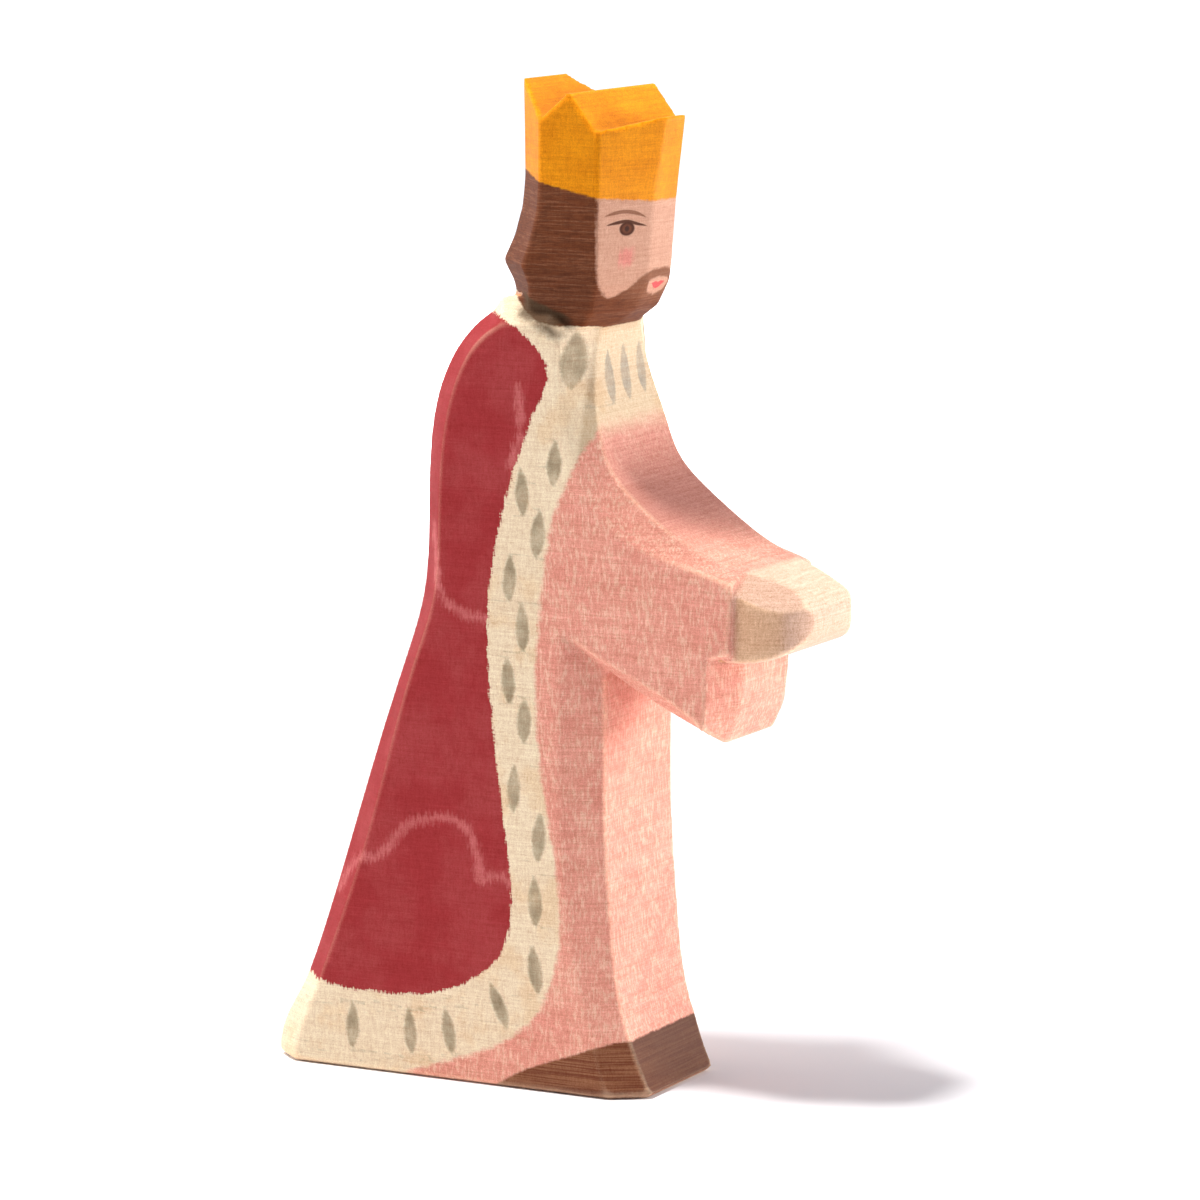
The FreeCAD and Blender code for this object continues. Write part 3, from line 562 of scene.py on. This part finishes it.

    # grain over everything, then paler edges, from wear and from painted highlight
    lines = add(tree, PLUS, add(tree, PLUS, swing(rings, 0.5), swing(broad, 0.16)),
                add(tree, PLUS, swing(fibres, 0.36), swing(weave, 0.5)))
    lines = add(tree, PLUS, lines, add(tree, PLUS, swing(fleck, 0.5), swing(grit, 1.0)))
    lines = add(tree, TIMES, lines, add(tree, MINUS, 1.0, add(tree, TIMES, is_trim, 0.25)))
    tone = add(tree, ("ShaderNodeCombineColor", {}),
               *[add(tree, TIMES_PLUS, lines, amount, 1.0) for amount in (0.7, 1.1, 1.3)])
    colour = add(tree, TINT, 1.0, colour, tone)
    # paler edges: wear on the sanded edges, and painted highlight where light catches them
    edge_for_wear_and_highlight = add(tree, PLUS, into["edge"], swing(grit, 0.012))
    wear_and_highlight = add(tree, TIMES, blur(edge_for_wear_and_highlight, -0.024, 0.03), add(tree, MINUS, 0.8, add(tree, TIMES, is_head, 0.3)))
    lighter = add(tree, TINT, 1.0, colour, (1.45, 1.4, 1.35, 1.0))
    colour = add(tree, OVER, wear_and_highlight, colour,
                 add(tree, OVER, add(tree, TIMES, add(tree, MINUS, 1.0, is_head), 0.35), lighter,
                     hue["trim"]))
    # darker along the concave creases
    crease = add(tree, TIMES, blur(add(tree, TIMES, into["edge"], -1.0), -0.03, 0.04), 0.35)
    colour = add(tree, OVER, crease, colour, add(tree, TINT, 1.0, colour, hue["crease"]))

    tree.links.new(colour, out.inputs["Colour"])
    tree.links.new(add(tree, PLUS, add(tree, TIMES, lines, 0.5), swing(patch, 0.5)), out.inputs["Relief"])
    tree.links.new(add(tree, PLUS, swing(rings, 0.12), swing(patch, 0.08)), out.inputs["Dryness"])
    return tree


GROUP = stained_maple_group()


def stained_maple(name, roughness):
    """One coat's material: the stain soaked into maple, with the roughness of its finish.
    Gives the eye: a matt surface with no gleam, since stain leaves the pores open."""
    material = bpy.data.materials.new(name)
    material.use_nodes = True
    tree = material.node_tree
    tree.nodes.clear()
    wood = add(tree, ("ShaderNodeGroup", {"node_tree": GROUP})).node.outputs
    rough = add(tree, PLUS, wood["Dryness"], roughness)
    bump = add(tree, ("ShaderNodeBump", {}), Strength=0.25, Distance=0.06 * MM, Height=wood["Relief"])
    shader = add(tree, ("ShaderNodeBsdfPrincipled", {}), Roughness=rough, Normal=bump, IOR=1.46,
                 **{"Base Color": wood["Colour"], "Specular IOR Level": 0.05})
    add(tree, ("ShaderNodeOutputMaterial", {}), Surface=shader)
    return material


# =====================================================================================
# the figure
# =====================================================================================
solids = merged_solids()
points, quads = skin_over(*solids, CELL)
points, triangles, normals, edge = sanded(points, quads, SANDING_PASSES)
table = np.zeros((len(points), 6 + len(FIELDS)))
table[:, POSITION], table[:, NORMAL], table[:, COL["edge"]] = points, normals, edge
for _ in range(2):                       # the painted face needs points 0.12 mm apart
    middle = table[triangles, :3].mean(1)
    on_face = (middle[:, 2] > FACE_BAND[0]) & (middle[:, 2] < FACE_BAND[1]) & (-middle[:, 1] > FACE_BAND_FROM)
    table, triangles = finer(table, triangles, on_face)
painted_fields(table)

# cut the skin along the painted borders, from the top down
coats = {}
table, head, robe = cut(table, triangles, COL["neck"])
table, coats["crown_glaze"], head = cut(table, head, COL["crown"])
table, skin, coats["hair_beard_glaze"] = cut(table, head, COL["face"])
for node, field in (("pupils", "pupil"), ("eyelid_strokes", "lid"), ("irises", "iris"),
                    ("brow_strokes", "brow"), ("lips", "lips"), ("cheek_blush", "blush")):
    table, coats[node], skin = cut(table, skin, COL[field])
coats["face_glaze"] = skin
table, bare, robe = cut(table, robe, COL["bare"])
table, coats["mantle_glaze"], robe = cut(table, robe, COL["mantle"])
table, trim, robe = cut(table, robe, COL["trim"])
table, coats["ermine_spots"], coats["ermine_trim_glaze"] = cut(table, trim, COL["spot"])
table, coats["shoe_glaze"], coats["tunic_glaze"] = cut(table, robe, COL["shoe"])

ROUGHNESS = {"maple_body": 0.52, "crown_glaze": 0.48, "hair_beard_glaze": 0.55, "shoe_glaze": 0.5,
             "mantle_glaze": 0.55, "eyelid_strokes": 0.5, "irises": 0.45, "pupils": 0.42}
for node, faces in coats.items():
    coat = shell(node + "_coat", table, faces, SOAK)
    coat.data.materials.append(stained_maple(node + "_on_maple", ROUGHNESS.get(node, 0.56)))
    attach(coat, "root")
    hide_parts(node)

# bare wood: the hands and the underside, and the wood under the coats
bare_wood = stained_maple("oiled_bare_maple", ROUGHNESS["maple_body"])
hands = shell("bare_hands_and_base", table, bare, SOAK)
core_p, core_q = skin_over(*solids, CORE_CELL)
core_p, core_t, core_n, _ = sanded(core_p, core_q, CORE_PASSES)
core_table = np.zeros((len(core_p), 6 + len(FIELDS)))
core_p = core_p - core_n * (SOAK + CORE_GAP)
core_p[:, 2] = np.maximum(core_p[:, 2], SOAK * 0.5)
core_table[:, COL["bare"]] = 5.0         # well inside the bare wood, so it takes no stain
core = piece("maple_core", core_p, core_t, core_n[core_t].reshape(-1, 3), core_table)
for wood in (hands, core):
    wood.data.materials.append(bare_wood)
    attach(wood, "root")
    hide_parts("maple_body")

# =====================================================================================
# stage, lights, camera
# =====================================================================================
floor_mesh = bpy.data.meshes.new("studio_floor")
FLOOR_REACH, FLOOR_SIDES = 1.6, 96      # m; past this the white tent shows
turns = [math.tau * i / FLOOR_SIDES for i in range(FLOOR_SIDES)]
rim = [(FLOOR_REACH * math.cos(turn), FLOOR_REACH * math.sin(turn), 0) for turn in turns]
floor_mesh.from_pydata(rim, [], [tuple(range(FLOOR_SIDES))])
floor = bpy.data.objects.new("studio_floor", floor_mesh)
bpy.context.scene.collection.objects.link(floor)
paper = bpy.data.materials.new("white_backdrop_paper")
paper.use_nodes = True
paper_shader = paper.node_tree.nodes["Principled BSDF"]
paper_shader.inputs["Base Color"].default_value = (0.88, 0.88, 0.9, 1)
paper_shader.inputs["Roughness"].default_value = 0.9
paper_shader.inputs["Specular IOR Level"].default_value = 0.0
floor_mesh.materials.append(paper)

AZIMUTH, ELEVATION = math.radians(-62.48), math.radians(8.824)
TARGET = np.array([0.0, -0.01968, 0.08216])
DISTANCE, LENS = 0.93906, 166.92
toward = np.array([math.sin(AZIMUTH) * math.cos(ELEVATION), -math.cos(AZIMUTH) * math.cos(ELEVATION),
                   math.sin(ELEVATION)])


def aim(made_object, at, look):
    """Turns an object so that its -Z points from at to look."""
    made_object.location = at
    made_object.rotation_euler = (Vector(look) - Vector(at)).to_track_quat("-Z", "Y").to_euler()


camera_data = bpy.data.cameras.new("camera")
camera_data.lens = LENS
camera_data.sensor_width = 36
camera_data.dof.use_dof = False
camera_data.clip_end = 50
camera = bpy.data.objects.new("camera", camera_data)
bpy.context.scene.collection.objects.link(camera)
aim(camera, TARGET + DISTANCE * toward, TARGET)
bpy.context.scene.camera = camera


MIDDLE = (0, -0.01, 0.09)
# the key hangs high, a little behind and to the figure's right; its shadow falls forward
SOFTBOXES = [       # name, place, what it points at, size in m, watts, colour
    ("overhead_key", (-0.21, 0.165, 1.15), MIDDLE, 0.19, 15.5, (1.0, 0.99, 0.97)),
    ("front_softbox", (0.75, -0.85, 0.1), MIDDLE, 0.5, 18.5, (1.0, 0.985, 0.965)),
    ("backdrop_softbox", (0.75, 0.45, 0.6), (1.6, 0.85, 0), 0.5, 20.0, (1, 1, 1)),
    ("back_softbox", (-0.2, 1.1, 0.4), MIDDLE, 0.6, 7.0, (1.0, 0.99, 0.98)),
]
for name, at, look, size, watts, colour in SOFTBOXES:
    lamp = bpy.data.lights.new(name, "AREA")
    lamp.shape = "DISK"
    lamp.size = size
    lamp.energy = watts
    lamp.color = colour
    box = bpy.data.objects.new(name, lamp)
    bpy.context.scene.collection.objects.link(box)
    aim(box, at, look)

# a white tent all round, dimmer on the figure's right where the camera stands
world = bpy.data.worlds.new("studio")
bpy.context.scene.world = world
world.use_nodes = True
sky = world.node_tree
sky.nodes.clear()
spread = add(sky, SPLIT, add(sky, PLACES).node.outputs["Generated"]).node.outputs
sideways = add(sky, EVEN_STEP, spread["X"], -0.7, 0.5, 0.14, 1.18)
overhead = add(sky, EVEN_STEP, spread["Z"], 0.1, 0.9, 1.0, 0.42)
background = add(sky, ("ShaderNodeBackground", {}), Color=(0.93, 0.97, 1.04, 1),
                 Strength=add(sky, TIMES, sideways, overhead))
add(sky, ("ShaderNodeOutputWorld", {}), Surface=background)

bpy.context.scene.view_settings.view_transform = "Standard"
bpy.context.scene.view_settings.look = "None"
